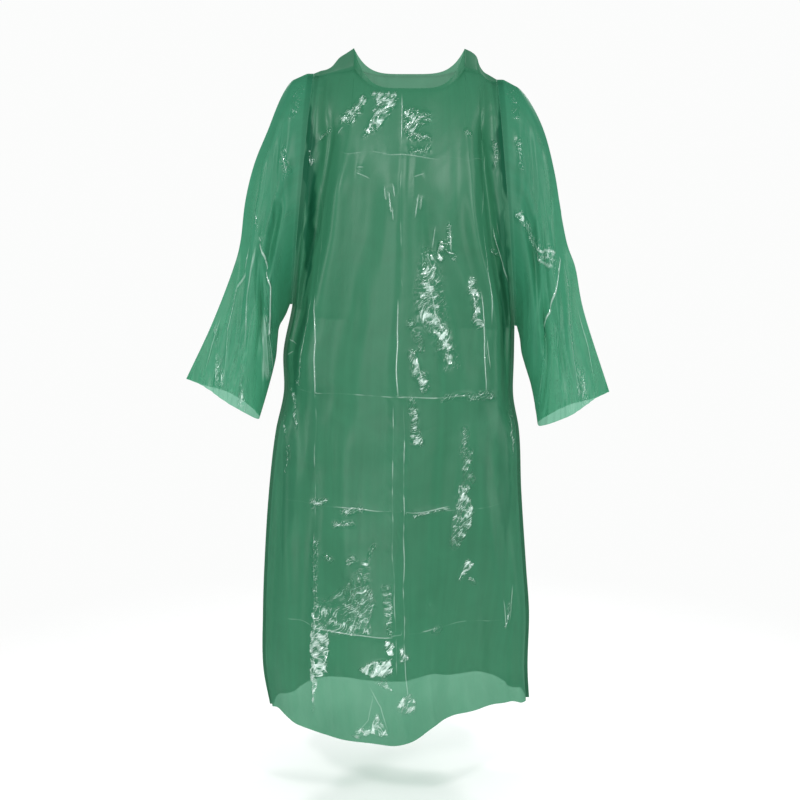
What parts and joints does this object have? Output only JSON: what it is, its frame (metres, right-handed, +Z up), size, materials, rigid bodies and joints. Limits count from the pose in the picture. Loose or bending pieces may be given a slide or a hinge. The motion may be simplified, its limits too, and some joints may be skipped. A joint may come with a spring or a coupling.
{
  "type": "calving gown",
  "caption": "Long protective gown of thin translucent green film, worn pose, hollow, with short loose sleeves, scooped neck and open hem.",
  "frame": {"origin": "midway between the shoulders, where the wearer's shoulders carry the gown", "axes": "+Z up, the front of the gown faces -Y, +X to the right in a view of the front"},
  "size_m": [0.816, 0.3748, 1.3008],
  "materials": {
    "body_film": "thin translucent green polyethylene film, glossy where it is stretched, crumpled and creased from packing",
    "sleeve_film": "the same thin translucent green film, paler where it lies in a single pair of layers at the sleeve's outer fold"
  },
  "bodies": {
    "root": {"front_panel_top": "body_film", "front_panel_middle": "body_film", "front_panel_lower": "body_film", "back_panel_top": "body_film", "back_panel_middle": "body_film", "back_panel_lower": "body_film", "left_sleeve": "sleeve_film", "right_sleeve": "sleeve_film"}
  },
  "joints": []
}
